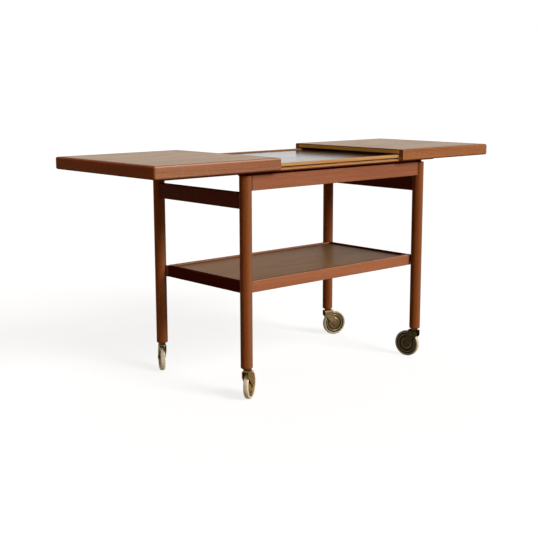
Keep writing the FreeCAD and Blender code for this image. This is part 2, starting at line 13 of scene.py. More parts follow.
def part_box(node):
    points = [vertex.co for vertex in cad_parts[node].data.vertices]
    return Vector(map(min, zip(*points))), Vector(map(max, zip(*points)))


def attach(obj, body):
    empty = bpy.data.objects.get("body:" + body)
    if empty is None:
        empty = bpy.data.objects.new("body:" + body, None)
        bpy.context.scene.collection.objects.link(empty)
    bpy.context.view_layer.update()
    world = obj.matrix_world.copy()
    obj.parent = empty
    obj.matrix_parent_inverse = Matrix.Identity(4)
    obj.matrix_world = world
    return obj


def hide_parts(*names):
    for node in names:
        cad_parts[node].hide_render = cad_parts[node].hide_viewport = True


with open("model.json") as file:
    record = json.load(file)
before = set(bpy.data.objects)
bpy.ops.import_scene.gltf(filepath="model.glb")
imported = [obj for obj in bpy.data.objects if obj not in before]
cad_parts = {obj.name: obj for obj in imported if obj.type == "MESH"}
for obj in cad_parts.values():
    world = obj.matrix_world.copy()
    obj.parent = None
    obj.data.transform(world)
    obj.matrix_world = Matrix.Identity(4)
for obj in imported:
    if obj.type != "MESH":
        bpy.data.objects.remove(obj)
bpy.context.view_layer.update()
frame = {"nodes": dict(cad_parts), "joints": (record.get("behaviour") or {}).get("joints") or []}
NODES = frame["nodes"]
JOINTS = {joint["name"]: joint for joint in frame["joints"]}
CORNERS = ("front_left", "front_right", "back_left", "back_right")
SIDES = ("left", "right")
LIPS = (("front", "X"), ("back", "X"), ("left", "Y"), ("right", "Y"))    # and the axis each runs along

# camera: one pinhole view, no lens shift
CAMERA_PLACE = (-1.951912, -2.097932, 0.795081)
CAMERA_DOWN = 10.3264        # degrees below the horizon
CAMERA_YAW = 41.7066         # degrees from +Y towards +X
CAMERA_ROLL = -0.1636        # degrees
CAMERA_LENS = 69.009         # millimetres, as the sensor's width
SENSOR_WIDTH = 36.0

# light
KEY_STRENGTH = 3.2
KEY_COLOUR = (1.0, 0.975, 0.94)
KEY_SOFTNESS = 25.0          # apparent size of the lamp, degrees
KEY_TURN = 9.0               # degrees from -Y towards +X
KEY_HEIGHT = 30.0            # degrees above the horizon
FILL_SIDE = (0.90, -0.38, 0.20)       # where the fill is strongest
FILL_AWAY = (0.140, 0.108, 0.080)     # its light on the other side
FILL_TOWARDS = (0.420, 0.405, 0.390)  # its light on its own side
BACK_SIDE = (0.50, 1.00, 0.25)        # a second, smaller fill from behind
BACK_EDGE = 0.3                       # cosine of the angle from BACK_SIDE at which it ends
FILL_BACK = (0.850, 0.820, 0.790)
FLOOR_REACH = 60.0           # half the floor's width
FLOOR_GLOW = 0.79
FLOOR_SHADE = 0.27           # how strongly the seen floor takes light and shadow
FLOOR_BOUNCE = (0.22, 0.18, 0.15)

# mean wood colours
TEAK_APRON = (0.290, 0.102, 0.050)
TEAK_LEAF = {"left": (0.316, 0.130, 0.066), "right": (0.315, 0.117, 0.041)}
# painted shade: the leaves' end rails in a darker copy of their teak
TEAK_LEAF_END_SHADED = (0.280, 0.064, 0.010)
TEAK_SHELF_LIP = (0.332, 0.119, 0.053)
# painted shade: the shelf's side lips in a darker copy of its lips' teak
TEAK_SHELF_SIDE_SHADED = (0.092, 0.013, 0.004)
TEAK_LEG = (0.222, 0.060, 0.015)
# painted shade: the end rails in a darker copy of the teak, under the leaves
TEAK_END_RAIL_SHADED = (0.115, 0.021, 0.006)
# painted shade: the gap strips in dark red, the shade of the gap under the board
TEAK_GAP_SHADE = (0.260, 0.012, 0.002)
VENEER = {"left": (0.284, 0.146, 0.036), "right": (0.286, 0.157, 0.054)}
VENEER_BACK = (0.340, 0.050, 0.025)   # the leaves' undersides
SHELF_VENEER = (0.222, 0.106, 0.034)
HONEY = (0.920, 0.440, 0.085)         # the leaves' inner lipping, its light part, made brighter as painted light on its shaded face
OLIVE_BROWN = (0.150, 0.072, 0.010)   # and its top
LIGHT_WOOD = (0.520, 0.262, 0.096)    # the board's lips
BACK_LIP_WOOD = (0.290, 0.135, 0.060)
LIP_SHADE = (0.090, 0.016, 0.004)     # painted shade at the foot of the board's lips
BEECH = (0.680, 0.500, 0.310)
CORE_BOARD = (0.480, 0.350, 0.220)

# factors on a wood's mean colour, one for each channel
# painted shade on level tops, painted highlight on upper arrises, painted shade on all that looks down
TOP_SHADE = (0.42, 0.34, 0.30)
ARRIS_HIGHLIGHT = (1.5, 2.0, 2.7)
DOWNWARD_SHADE = (0.30, 0.20, 0.15)
# painted light: the lit side of the legs paler
LIT_SIDE_PALE = (1.12, 1.68, 3.00)

# kinds of face by how far they look up, 1 on level tops and -1 underneath: each one's border
LEVEL_TOP = (0.93, 0.985)
ABOVE_UPRIGHT = (0.22, 0.50)          # an upper arris lies between this border
NEAR_LEVEL = (0.82, 0.95)             # and this one
LOWER_ARRIS = (-0.60, -0.15)
UNDERSIDE = (-0.8, -0.4)
DOWNWARD_SHADE_STRENGTH = 0.7         # how dark the painted shade on all that looks down is, 0 to 1

# how dark the painted shade on level tops is and how pale the painted highlight on upper arrises, 0 to
# 1
APRON_EDGE_LIGHT = (0.30, 0.20)
SHELF_LIP_EDGE_LIGHT = (0.80, 0.90)
SHELF_SIDE_EDGE_LIGHT = (0.80, 0.0)
LEAF_EDGE_LIGHT = {"left": (0.75, 1.0), "right": (0.75, 0.05)}
LEAF_END_EDGE_LIGHT = (0.75, 0.0)

# leaves
LEAF_SEED = {"left": 51, "right": 61}    # seed of each leaf's first piece, the others follow

# legs
# the back legs' teak is brighter, as painted light against the shade they stand in
LEG_TONE = {"front_left": 1.0, "front_right": 1.0, "back_left": 1.35, "back_right": 1.10}
LEG_LIT_PALING = 0.85            # how far the legs' lit side is painted paler, a painted highlight
LIT_SIDE = (0.75, -0.66, 0.0)      # the way that side faces
LIT_SIDE_FACES = (0.05, 0.85)           # how far a face looks that way: first at all, then fully

# painted details of the wood
JOINT_WIDTH = 0.0021         # the dark joint where an apron meets a leg
JOINT_BLUR = 0.0008
JOINT_STRENGTH = 0.8
JOINT_SHADE = 0.30           # its brightness as a share of the wood's dark colour
SHELF_SHADE = (-0.10, 0.36, 0.60)      # painted shade: the shelf darkens from x, to x, by this much
SHADE_ALONG_X_TONE = 0.35           # towards this share of its mean colour
LIP_FOOT = 0.0030            # height of the painted shade at the foot of the board's lips
VENEER_EDGE = 0.0006         # how far the colour of a leaf's underside shows at its edge
PAINT_BLUR = 0.0003          # half width of the border between two colours
HONEY_SHARE = 0.80           # how much of the inner lipping's height is light
HONEY_BLUR = 0.0008
GLUE_LINE = (0.0003, 0.0011, 0.75)    # full up to, gone at, strength
GLUE_SHADE = 0.5             # its brightness as a share of the wood's dark colour
CORNER_SHADE_REACH = 0.004        # how far from a corner the painted shade reaches
CORNER_SHADE_OPENNESS = (0.45, 0.85)       # painted shade below the first, none above the second
CORNER_SHADE_TONE = 0.30
CREVICE_SAMPLES = 6

# wood grain: features per metre along and across it, detail, roughness, weight in the tone
GRAIN_LAYERS = {
    "fibre": ((16, 760, 760), 3.0, 0.60, 0.50),
    "streak": ((3.2, 150, 150), 3.0, 0.55, 0.32),
    "cloud": ((1.7, 13, 13), 2.0, 0.50, 0.42),
    "mottle": ((130, 300, 300), 1.0, 0.50, 0.30),
}
TONE_STOPS = (0.12, 0.48, 0.86)       # the tones of its dark, mean and light colour
DARK_SPREAD = (1.0, 1.25, 1.4)        # how much each channel falls in the dark, times spread
LIGHT_SPREAD = (0.8, 1.0, 1.2)        # and how much it rises in the light
PORES = (130, 3300, 3300)
PORE_NOISE = (0.60, 0.70)    # no pore below the first, a full one above the second
PORE_STRENGTH = 0.40
PORE_SHADE = 0.45            # a pore's brightness as a share of the wood's dark colour
END_FACE = (0.72, 0.9)       # how far a face looks along the grain: first at all, then fully
END_STRENGTH = 0.45          # how far end grain goes to the dark colour
LOG_STEP = (0.731, 0.137, 0.211)      # from one seed's spot in the log to the next one's
PITH_ASIDE = (0.09, 0.013)   # from a piece to the middle of its log: the least, and a seed's step
PITH_BELOW = (0.06, 0.017)
RING_TAPER = 0.02            # how much the way along the grain counts in a ring's radius
RING_WANDER = (2.1, 6.0, 6.0)         # turns of the growth rings out of round, per metre
RING_REACH = 0.045           # and how far they go
LATE_WOOD = (0.35, 1.0)      # across one ring: where its dark line begins, where it is full
RING_GROUPS = 0.31           # groups of strong and weak rings, per ring
RING_GROUP_NOISE = (0.32, 0.68)       # weak below the first, strong above the second
WOOD_RELIEF = 0.00016
LAYER_RELIEF = {"pore": -0.9, "fibre": 0.5, "lines": -0.25}    # each layer's share of the relief
STREAK_ROUGHNESS = 0.22      # what streaks, end grain and undersides add
END_ROUGHNESS = 0.15
UNDERSIDE_ROUGHNESS = 0.45

# noises of the other finishes: features per metre, detail, roughness, distortion
SMEARS = ((9, 14, 9), 4.0, 0.6, 0.6)
SCUFFS = ((55, 900, 55), 2.0, 0.7)
RIPPLES = ((420, 420, 420), 1.0)
PATINA = ((70, 70, 70), 6.0, 0.65)
SPECKLES = ((900, 900, 900), 2.0)
TARNISH = ((160, 160, 160), 4.0)
SCRATCHES = ((300, 2600, 300), 2.0, 0.7)
BLOTCHES = ((90, 90, 90), 5.0, 0.6)
GRIT = ((1400, 1400, 1400), 2.0)

# laminate: colours by its smears, as (noise, colour)
LAMINATE_COLOURS = ((0.3, (0.030, 0.017, 0.010)), (0.7, (0.044, 0.028, 0.017)))
LAMINATE_SCUFF = (0.075, 0.072, 0.066)
SCUFF_NOISE = (0.66, 0.74)   # no scuff below the first, a full one above the second
SCUFF_STRENGTH = 0.35
LAMINATE_SHEEN = (1.0, 0.985, 0.93)
LAMINATE_ROUGHNESS = (0.09, 0.10, 0.10)    # plain, more in its smears, more in its scuffs
LAMINATE_RELIEF = 0.00001

# aged brass plating at a tone of 1, by its patina, and how bright it is on each castor: the darker
# castors are painted shade
BRASS_COLOURS = ((0.30, (0.165, 0.106, 0.033)), (0.50, (0.290, 0.191, 0.086)),
                 (0.70, (0.430, 0.300, 0.155)))
BRASS_SPECKLE = (0.080, 0.052, 0.017)
SPECKLE_NOISE = (0.58, 0.72)
SPECKLE_STRENGTH = 0.5
BRASS_HOLLOW = (0.060, 0.040, 0.013)
HOLLOW_STRENGTH = 0.72
HOLLOW_POWER = 0.5           # of the tone: 1 follows it fully, 0 not at all
# painted highlight on the wheels' raised rings, where they are also rubbed pale
BRASS_RUBBED_HIGHLIGHT = (0.540, 0.430, 0.250)
RUBBED_HIGHLIGHT_STRENGTH = 0.55
RUBBED_HIGHLIGHT_POWER = 0.6
BRASS_CREVICE = (0.030, 0.020, 0.009)
BRASS_CREVICE_REACH = 0.006
BRASS_CREVICE_OPENNESS = (0.35, 0.85)
BRASS_CREVICE_STRENGTH = 0.85
BRASS_SHEEN = (0.58, 0.44, 0.30)
BRASS_ROUGHNESS = (0.54, -0.25)       # plain, less with its patina
HOLLOW_ROUGHNESS = 0.18      # more in the wheels' hollow rings
BRASS_RELIEF = 0.00008
SPECKLE_RELIEF = -0.5        # as a share of the patina's
BRASS_SEED_STEP = 0.37       # from one seed's spot in the noises to the next one's
# how bright the brass is on each castor: the darker ones are painted shade
CASTOR_SHADE_TONE = {"front_left": 0.95, "front_right": 0.13, "back_left": 0.60, "back_right": 0.36}
FORK_SHADE_TONE = {"front_left": 0.90, "front_right": 0.11, "back_left": 0.60, "back_right": 0.62}
# the stems and sockets are darker brass, which also paints the shade under the legs' feet
STEM_TONE = 0.22
SOCKET_TONE = 0.25

# steel by its tarnish
STEEL_COLOURS = ((0.35, (0.23, 0.21, 0.19)), (0.62, (0.50, 0.49, 0.47)))
STEEL_ROUGHNESS = (0.22, 0.25)        # plain, more in its scratches
STEEL_RELIEF = 0.00003

# tyre rubber by its blotches, how bright each tread is, as painted light and shade, and how far each
# tyre's sides are darkened by soil and painted shade
RUBBER_COLOURS = ((0.30, (0.760, 0.600, 0.380)), (0.68, (0.900, 0.800, 0.590)))
RUBBER_SOIL_AND_SHADE = (0.056, 0.046, 0.017)
RUBBER_BEAD = (0.120, 0.082, 0.045)
BEAD_STRENGTH = 0.75
RUBBER_WORN = (0.300, 0.240, 0.165)
WORN_BLOTCHES = (0.35, 0.6)  # not worn below the first, fully above the second
WORN_STRENGTH = 0.35
RUBBER_SEAM = (0.200, 0.150, 0.095)
SEAM_STRENGTH = 0.35
RUBBER_ROUGHNESS = (0.38, 0.2)        # plain, more on its grit
RUBBER_RELIEF = 0.00010
GRIT_RELIEF = 0.5            # as a share of the blotches'
RUBBER_SEED_STEP = 0.23
TREAD_LIGHT = {"front_left": 0.95, "front_right": 0.78, "back_left": 1.10, "back_right": 0.88}
TYRE_SIDE_LIGHT = {"front_left": 0.80, "front_right": 0.15, "back_left": 1.00, "back_right": 0.50}

# rings on the wheels, as distances from the axle's line
HOLLOW_RINGS = ((0.0214, 0.0035), (0.0296, 0.0022), (0.0090, 0.0025))    # middle, half width
RUBBED_HIGHLIGHT_RINGS = ((0.0256, 0.0016), (0.0148, 0.0014))
TYRE_BEAD = (0.0305, 0.0325)          # brown inside the first, gone at the second
TYRE_SIDE = (0.0355, 0.0372)          # darkened by soil and painted shade inside the first, not at the second
TYRE_TREAD = (0.0362, 0.0374)         # worn from the first on, fully at the second
TYRE_SEAM = 0.0004                    # half width of the moulding line round the tread

# screws
SCREW_HEAD_RADIUS = 0.004
SCREW_HEAD_DEPTH = 0.0024
SCREW_RIM_WIDTH = 0.00016
SCREW_RIM_DEPTH = 0.000192
SCREW_SHANK_RADIUS = 0.002
SCREW_POINT = 0.004
SCREW_LENGTH = {"board_screws": 0.038, "shelf_screws": 0.030}
SCREW_SLOT_WIDTH = 0.0011
SCREW_SLOT_DEPTH = 0.0009
SCREW_FIRST_TURN = 25        # degrees, the first slot's direction
SCREW_NEXT_TURN = 55         # degrees, from each slot to the next


class Nodes:
    """Adds shader nodes to one tree. Its helpers return output sockets."""

    def __init__(self, tree):
        self.tree = tree
        self.tree.nodes.clear()

    def feed(self, socket, value):
        """Links an output socket to an input socket, or sets its value."""
        if isinstance(value, bpy.types.NodeSocket):
            self.tree.links.new(value, socket)
        elif socket.type == "RGBA":
            socket.default_value = (*value, 1.0)
        else:
            socket.default_value = value

    def node(self, kind, inputs=None, **settings):
        """A new node. inputs is by socket name or number; settings are the node's own fields."""
        made = self.tree.nodes.new("ShaderNode" + kind)
        for key, value in settings.items():
            setattr(made, key, value)
        for key, value in (inputs or {}).items():
            self.feed(made.inputs[key], value)
        return made

    def math(self, operation, *values):
        return self.node("Math", dict(enumerate(values)), operation=operation).outputs[0]

    def plus(self, base, value, weight):
        """base plus value times weight."""
        return self.math("MULTIPLY_ADD", value, weight, base)

    def vector(self, operation, *values):
        made = self.node("VectorMath", dict(enumerate(values)), operation=operation)
        return made.outputs["Value" if operation in ("LENGTH", "DOT_PRODUCT") else "Vector"]

    def noise(self, place, stretch, detail=2.0, roughness=0.5, distortion=0.0):
        """Smooth noise from 0 to 1. stretch is the number of features per metre on each axis."""
        stretched = self.vector("MULTIPLY", place, stretch)
        made = self.node("TexNoise", {"Vector": stretched, "Scale": 1.0, "Detail": detail,
                                      "Roughness": roughness, "Distortion": distortion})
        return made.outputs["Fac"]

    def steps(self, value, low, high, to_low=0.0, to_high=1.0):
        """A smooth step: to_low below low, to_high above high."""
        made = self.node("MapRange", {"Value": value, "From Min": low, "From Max": high,
                                      "To Min": to_low, "To Max": to_high},
                         interpolation_type="SMOOTHSTEP")
        return made.outputs["Result"]

    def ramp(self, value, *stops):
        """A colour ramp of (position, colour) stops."""
        made = self.node("ValToRGB", {"Fac": value})
        elements = made.color_ramp.elements
        while len(elements) < len(stops):
            elements.new(0.5)
        for element, (position, colour) in zip(elements, stops):
            element.position = position
            element.color = (*colour, 1.0)
        return made.outputs["Color"]

    def mix(self, factor, first, second):
        """first where factor is 0, second where it is 1."""
        made = self.node("Mix", data_type="RGBA")
        colours = [socket for socket in made.inputs if socket.type == "RGBA"]
        self.feed(made.inputs["Factor"], factor)
        self.feed(colours[0], first)
        self.feed(colours[1], second)
        return next(socket for socket in made.outputs if socket.type == "RGBA")

    def cover(self, colour, mask, strength, other):
        """colour with other laid over it where mask is 1, this strongly."""
        return self.mix(self.math("MULTIPLY", mask, strength), colour, other)

    def bump(self, height, distance):
        return self.node("Bump", {"Height": height, "Distance": distance}).outputs["Normal"]

    def openness(self, reach):
        """1 in the open, less in corners with another surface within reach."""
        made = self.node("AmbientOcclusion", {"Distance": reach}, samples=CREVICE_SAMPLES)
        return made.outputs["AO"]

    def place(self):
        """Position in the trolley's own frame at rest."""
        return self.node("TexCoord").outputs["Object"]

    def axes(self, place):
        """The X, Y and Z of a position, by name."""
        return self.node("SeparateXYZ", {0: place}).outputs

    def facing(self, direction):
        """How far the surface faces a direction: 1 towards it, 0 square to it, -1 away from it."""
        return self.vector("DOT_PRODUCT", self.node("TexCoord").outputs["Normal"], direction)

    def seen(self):
        """1 for rays from the camera, off metal or through glass; 0 for light on the object."""
        path = self.node("LightPath").outputs
        camera_or_gloss = self.math("MAXIMUM", path["Is Camera Ray"], path["Is Glossy Ray"])
        return self.math("MAXIMUM", camera_or_gloss, path["Is Transmission Ray"])


class Shader(Nodes):
    """The nodes of one new material."""

    def __init__(self, name):
        self.material = bpy.data.materials.new(name)
        self.material.use_nodes = True
        super().__init__(self.material.node_tree)

    def finish(self, **inputs):
        """The surface: one principled shader with these inputs, underscores read as spaces."""
        named = {key.replace("_", " "): value for key, value in inputs.items()}
        surface = self.node("BsdfPrincipled", named)
        self.node("OutputMaterial", {"Surface": surface.outputs[0]})
        return self.material


def scaled(colour, *factors):
    """A colour times one factor, or times one factor for each channel."""
    if len(factors) == 1:
        factors = factors * 3
    return tuple(channel * factor for channel, factor in zip(colour, factors))


def toned(stops, tone):
    """A ramp's stops with each colour times a tone."""
    return [(position, scaled(colour, tone)) for position, colour in stops]


# ---------------------------------------------------------------- wood: its grain
def log_spot(seed):
    """Where in the log a piece is cut, for each seed a spot of its own."""
    along, aside, below = LOG_STEP
    return along * seed, aside * (seed % 5), below * (seed % 7)


def grain_position(shader, along, seed):
    """Position with its first axis along the grain, moved to the piece's spot in the log."""
    parts = shader.axes(shader.place())
    order = {"X": (0, 1, 2), "Y": (1, 0, 2), "Z": (2, 0, 1)}[along]
    turned = shader.node("CombineXYZ", {i: parts[k] for i, k in enumerate(order)}).outputs[0]
    return shader.vector("ADD", turned, log_spot(seed))


def growth_rings(shader, place, seed, spacing):
    """Dark late-wood lines round a pith that lies off the piece, uneven in strength."""
    _, spot_y, spot_z = log_spot(seed)
    aside, aside_step = PITH_ASIDE
    below, below_step = PITH_BELOW
    pith = (0.0, spot_y + aside + aside_step * (seed % 4), spot_z - below - below_step * (seed % 3))
    wander = shader.noise(place, RING_WANDER)
    across = shader.vector("MULTIPLY", shader.vector("SUBTRACT", place, pith), (RING_TAPER, 1, 1))
    radius = shader.plus(shader.vector("LENGTH", across), wander, RING_REACH)
    turns = shader.math("DIVIDE", radius, spacing)
    late = shader.steps(shader.math("FRACT", turns), *LATE_WOOD)
    groups = shader.node("TexNoise", {"W": shader.math("MULTIPLY", turns, RING_GROUPS), "Scale": 1.0,
                                      "Detail": 1.0}, noise_dimensions="1D").outputs["Fac"]
    return shader.math("MULTIPLY", late, shader.steps(groups, *RING_GROUP_NOISE))


def end_grain(shader, along):
    """1 on faces cut across the grain, 0 on the others."""
    axis = {"X": (1, 0, 0), "Y": (0, 1, 0), "Z": (0, 0, 1)}[along]
    return shader.steps(shader.math("ABSOLUTE", shader.facing(axis)), *END_FACE)


def grain(shader, along, seed, figure, spacing):
    """The wood's layers by name: those of GRAIN_LAYERS, lines, pore, end, and tone from 0 to 1."""
    place = grain_position(shader, along, seed)
    layers = {"lines": growth_rings(shader, place, seed, spacing)}
    tone = shader.plus(0.5, layers["lines"], -figure)
    for name, (stretch, detail, roughness, weight) in GRAIN_LAYERS.items():
        layers[name] = shader.noise(place, stretch, detail, roughness)
        tone = shader.plus(tone, shader.math("SUBTRACT", layers[name], 0.5), weight)
    layers["tone"] = tone
    layers["pore"] = shader.steps(shader.noise(place, PORES, detail=1.0), *PORE_NOISE)
    layers["end"] = end_grain(shader, along)
    return layers


# ---------------------------------------------------------------- wood: details of its colour
def painted_shade_along_x(shader, colour, mean, start, end, strength):
    """Painted shade: darkens the wood along X, from start on and fully at end."""
    reach = shader.axes(shader.place())["X"]
    return shader.mix(shader.steps(reach, start, end, 0.0, strength), colour,
                      scaled(mean, SHADE_ALONG_X_TONE))


def painted_lit_side(shader, colour, mean, lit_paling):
    """Painted light: pales the side that faces one way, as if lit from there."""
    lit = shader.steps(shader.facing(LIT_SIDE), *LIT_SIDE_FACES, 0.0, lit_paling)
    return shader.mix(lit, colour, scaled(mean, *LIT_SIDE_PALE))


def joint_line(shader, colour, dark, joint):
    """Darkens the wood past this distance from the middle, on both sides."""
    reach = shader.math("ABSOLUTE", shader.axes(shader.place())["X"])
    line = shader.steps(reach, joint - JOINT_BLUR, joint, 0.0, JOINT_STRENGTH)
    return shader.mix(line, colour, scaled(dark, JOINT_SHADE))


def lower_part(shader, colour, level, blur, other):
    """Gives all below a level another colour."""
    height = shader.axes(shader.place())["Z"]
    return shader.mix(shader.steps(height, level - blur, level + blur, 1.0, 0.0), colour, other)


def painted_edge_light(shader, colour, mean, top, arris):
    """Painted light and shade: darkens level tops by top and all that looks down, and pales upper
    arrises by arris as a painted highlight.
    """
    rise = shader.facing((0, 0, 1))
    level = shader.steps(rise, *LEVEL_TOP)
    upper = shader.math("SUBTRACT", shader.steps(rise, *ABOVE_UPRIGHT),
                        shader.steps(rise, *NEAR_LEVEL))
    shade_underneath = shader.steps(rise, *LOWER_ARRIS, DOWNWARD_SHADE_STRENGTH, 0.0)
    colour = shader.cover(colour, level, top, scaled(mean, *TOP_SHADE))
    colour = shader.cover(colour, upper, arris, scaled(mean, *ARRIS_HIGHLIGHT))
    return shader.mix(shade_underneath, colour, scaled(mean, *DOWNWARD_SHADE))


def glue_line(shader, colour, dark, node):
    """Darkens a thin line along the four edges of a panel, from the panel's own box."""
    low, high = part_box(node)
    parts = shader.axes(shader.place())
    nearest = None
    for axis in (0, 1):
        for edge in (low[axis], high[axis]):
            distance = shader.math("ABSOLUTE", shader.math("SUBTRACT", parts[axis], edge))
            nearest = distance if nearest is None else shader.math("MINIMUM", nearest, distance)
    full, gone, strength = GLUE_LINE
    line = shader.steps(nearest, full, gone, strength, 0.0)
    return shader.mix(line, colour, scaled(dark, GLUE_SHADE))


def painted_corner_shade(shader, colour, dark, strength):
    """Painted shade: darkens the wood where another surface is close."""
    darkening = shader.steps(shader.openness(CORNER_SHADE_REACH), *CORNER_SHADE_OPENNESS, strength, 0.0)
    return shader.mix(darkening, colour, scaled(dark, CORNER_SHADE_TONE))


# ---------------------------------------------------------------- wood: the material
def wood_surface(shader, colour, layers, roughness, gloss):
    """Fibres and pores in relief, rougher on end grain and underneath."""
    height = 0.0
    for layer, share in LAYER_RELIEF.items():
        height = shader.plus(height, layers[layer], share)
    streak = shader.math("SUBTRACT", layers["streak"], 0.5)
    underside = shader.steps(shader.facing((0, 0, 1)), *UNDERSIDE, 1.0, 0.0)
    rough = shader.plus(roughness, streak, STREAK_ROUGHNESS)
    rough = shader.plus(rough, layers["end"], END_ROUGHNESS)
    rough = shader.plus(rough, underside, UNDERSIDE_ROUGHNESS)
    return shader.finish(Base_Color=colour, Roughness=rough, Specular_IOR_Level=gloss,
                         Normal=shader.bump(height, WOOD_RELIEF))


def wood(name, along, seed, mean, spread=0.34, figure=0.12, spacing=0.0042, roughness=0.48,
         gloss=0.05, corner_shade=0.75, seam=None, edge_light=None, low=None, shade_along_x=None, joint=None, lit_paling=0):
    """Oiled wood with its grain along one axis. seed picks its spot in the log.

    spread is how far its darkest and lightest parts lie from its mean colour. figure and spacing
    are the strength and width of its growth rings. corner_shade is how dark the painted shade in
    its corners is. seam is the panel that gets a glue line. edge_light, low, shade_along_x, joint
    and lit_paling go to painted_edge_light, lower_part, painted_shade_along_x, joint_line and
    painted_lit_side: painted light and shade on its edges, another colour below a level, painted
    shade along X, a dark joint and painted light on one side.
    """
    shader = Shader(name)
    layers = grain(shader, along, seed, figure, spacing)
    dark = scaled(mean, *(1 - fall * spread for fall in DARK_SPREAD))
    light = scaled(mean, *(1 + rise * spread for rise in LIGHT_SPREAD))
    colour = shader.ramp(layers["tone"], *zip(TONE_STOPS, (dark, mean, light)))
    colour = shader.cover(colour, layers["pore"], PORE_STRENGTH, scaled(dark, PORE_SHADE))
    colour = shader.cover(colour, layers["end"], END_STRENGTH, dark)
    if shade_along_x:
        colour = painted_shade_along_x(shader, colour, mean, *shade_along_x)
    if lit_paling:
        colour = painted_lit_side(shader, colour, mean, lit_paling)
    if joint:
        colour = joint_line(shader, colour, dark, joint)
    if low:
        colour = lower_part(shader, colour, *low)
    if edge_light:
        colour = painted_edge_light(shader, colour, mean, *edge_light)
    if seam:
        colour = glue_line(shader, colour, dark, seam)
    if corner_shade:
        colour = painted_corner_shade(shader, colour, dark, corner_shade)
    return wood_surface(shader, colour, layers, roughness, gloss)


# ---------------------------------------------------------------- laminate, metal and rubber
def laminate(name):
    """Dark gloss laminate with faint smears and fine scuffs."""
    shader = Shader(name)
    place = shader.place()
    smear = shader.noise(place, *SMEARS)
    scuff = shader.steps(shader.noise(place, *SCUFFS), *SCUFF_NOISE)
    ripple = shader.noise(place, *RIPPLES)
    colour = shader.ramp(smear, *LAMINATE_COLOURS)
    colour = shader.cover(colour, scuff, SCUFF_STRENGTH, LAMINATE_SCUFF)
    plain, smeared, scuffed = LAMINATE_ROUGHNESS
    rough = shader.plus(plain, smear, smeared)
    rough = shader.plus(rough, scuff, scuffed)
    return shader.finish(Base_Color=colour, Roughness=rough, Specular_IOR_Level=0.24,
                         Specular_Tint=LAMINATE_SHEEN, Normal=shader.bump(ripple, LAMINATE_RELIEF))


def wheel_radius(shader, corner):
    """Distance from the axle's line, and distance from the wheel's middle plane along it."""
    joint = JOINTS["wheel_" + corner + "_spin"]
    axis = tuple(Vector(joint["axis"]).normalized())
    place = shader.vector("SUBTRACT", shader.place(), tuple(joint["pos_m"]))
    radius = shader.vector("LENGTH", shader.vector("CROSS_PRODUCT", place, axis))
    side = shader.math("ABSOLUTE", shader.vector("DOT_PRODUCT", place, axis))
    return radius, side


def ring(shader, distance, middle, half_width):
    """1 where a distance is middle, fading to 0 where it is half_width more or less."""
    away = shader.math("ABSOLUTE", shader.math("SUBTRACT", distance, middle))
    return shader.steps(away, 0.0, half_width, 1.0, 0.0)


def rings(shader, radius, sizes):
    """1 on each of several rings. sizes is the (middle, half width) of each."""
    marks = [ring(shader, radius, middle, half_width) for middle, half_width in sizes]
    joined = marks[0]
    for mark in marks[1:]:
        joined = shader.math("MAXIMUM", joined, mark)
    return joined


def pressed_rings(shader, colour, rough, tone, corner):
    """The wheel's colour and roughness: brown in its hollow rings, pale on its raised ones, which are
    rubbed and carry a painted highlight.
    """
    radius, _ = wheel_radius(shader, corner)
    hollow = rings(shader, radius, HOLLOW_RINGS)
    colour = shader.cover(colour, hollow, HOLLOW_STRENGTH, scaled(BRASS_HOLLOW, tone ** HOLLOW_POWER))
    raised = rings(shader, radius, RUBBED_HIGHLIGHT_RINGS)
    colour = shader.cover(colour, raised, RUBBED_HIGHLIGHT_STRENGTH, scaled(BRASS_RUBBED_HIGHLIGHT, tone ** RUBBED_HIGHLIGHT_POWER))
    return colour, shader.plus(rough, hollow, HOLLOW_ROUGHNESS)


def brass(name, seed, tone, corner=None):
    """Aged brass plating, speckled, brown in crevices. corner is given for a wheel with rings."""
    shader = Shader(name)
    place = shader.vector("ADD", shader.place(), (BRASS_SEED_STEP * seed, 0.0, 0.0))
    patina = shader.noise(place, *PATINA)
    speckle = shader.steps(shader.noise(place, *SPECKLES), *SPECKLE_NOISE)
    colour = shader.ramp(patina, *toned(BRASS_COLOURS, tone))
    colour = shader.cover(colour, speckle, SPECKLE_STRENGTH, scaled(BRASS_SPECKLE, tone))
    plain, with_patina = BRASS_ROUGHNESS
    rough = shader.plus(plain, patina, with_patina)
    if corner:
        colour, rough = pressed_rings(shader, colour, rough, tone, corner)
    open_air = shader.openness(BRASS_CREVICE_REACH)
    darkening = shader.steps(open_air, *BRASS_CREVICE_OPENNESS, BRASS_CREVICE_STRENGTH, 0.0)
    colour = shader.mix(darkening, colour, BRASS_CREVICE)
    height = shader.plus(patina, speckle, SPECKLE_RELIEF)
    return shader.finish(Base_Color=colour, Metallic=1.0, Roughness=rough, Specular_Tint=BRASS_SHEEN,
                         Normal=shader.bump(height, BRASS_RELIEF))


def steel(name):
    """Plain steel with fine scratches and a little tarnish."""
    shader = Shader(name)
    place = shader.place()
    scratch = shader.noise(place, *SCRATCHES)
    colour = shader.ramp(shader.noise(place, *TARNISH), *STEEL_COLOURS)
    plain, scratched = STEEL_ROUGHNESS
    rough = shader.plus(plain, scratch, scratched)
    return shader.finish(Base_Color=colour, Metallic=1.0, Roughness=rough,
                         Normal=shader.bump(scratch, STEEL_RELIEF))


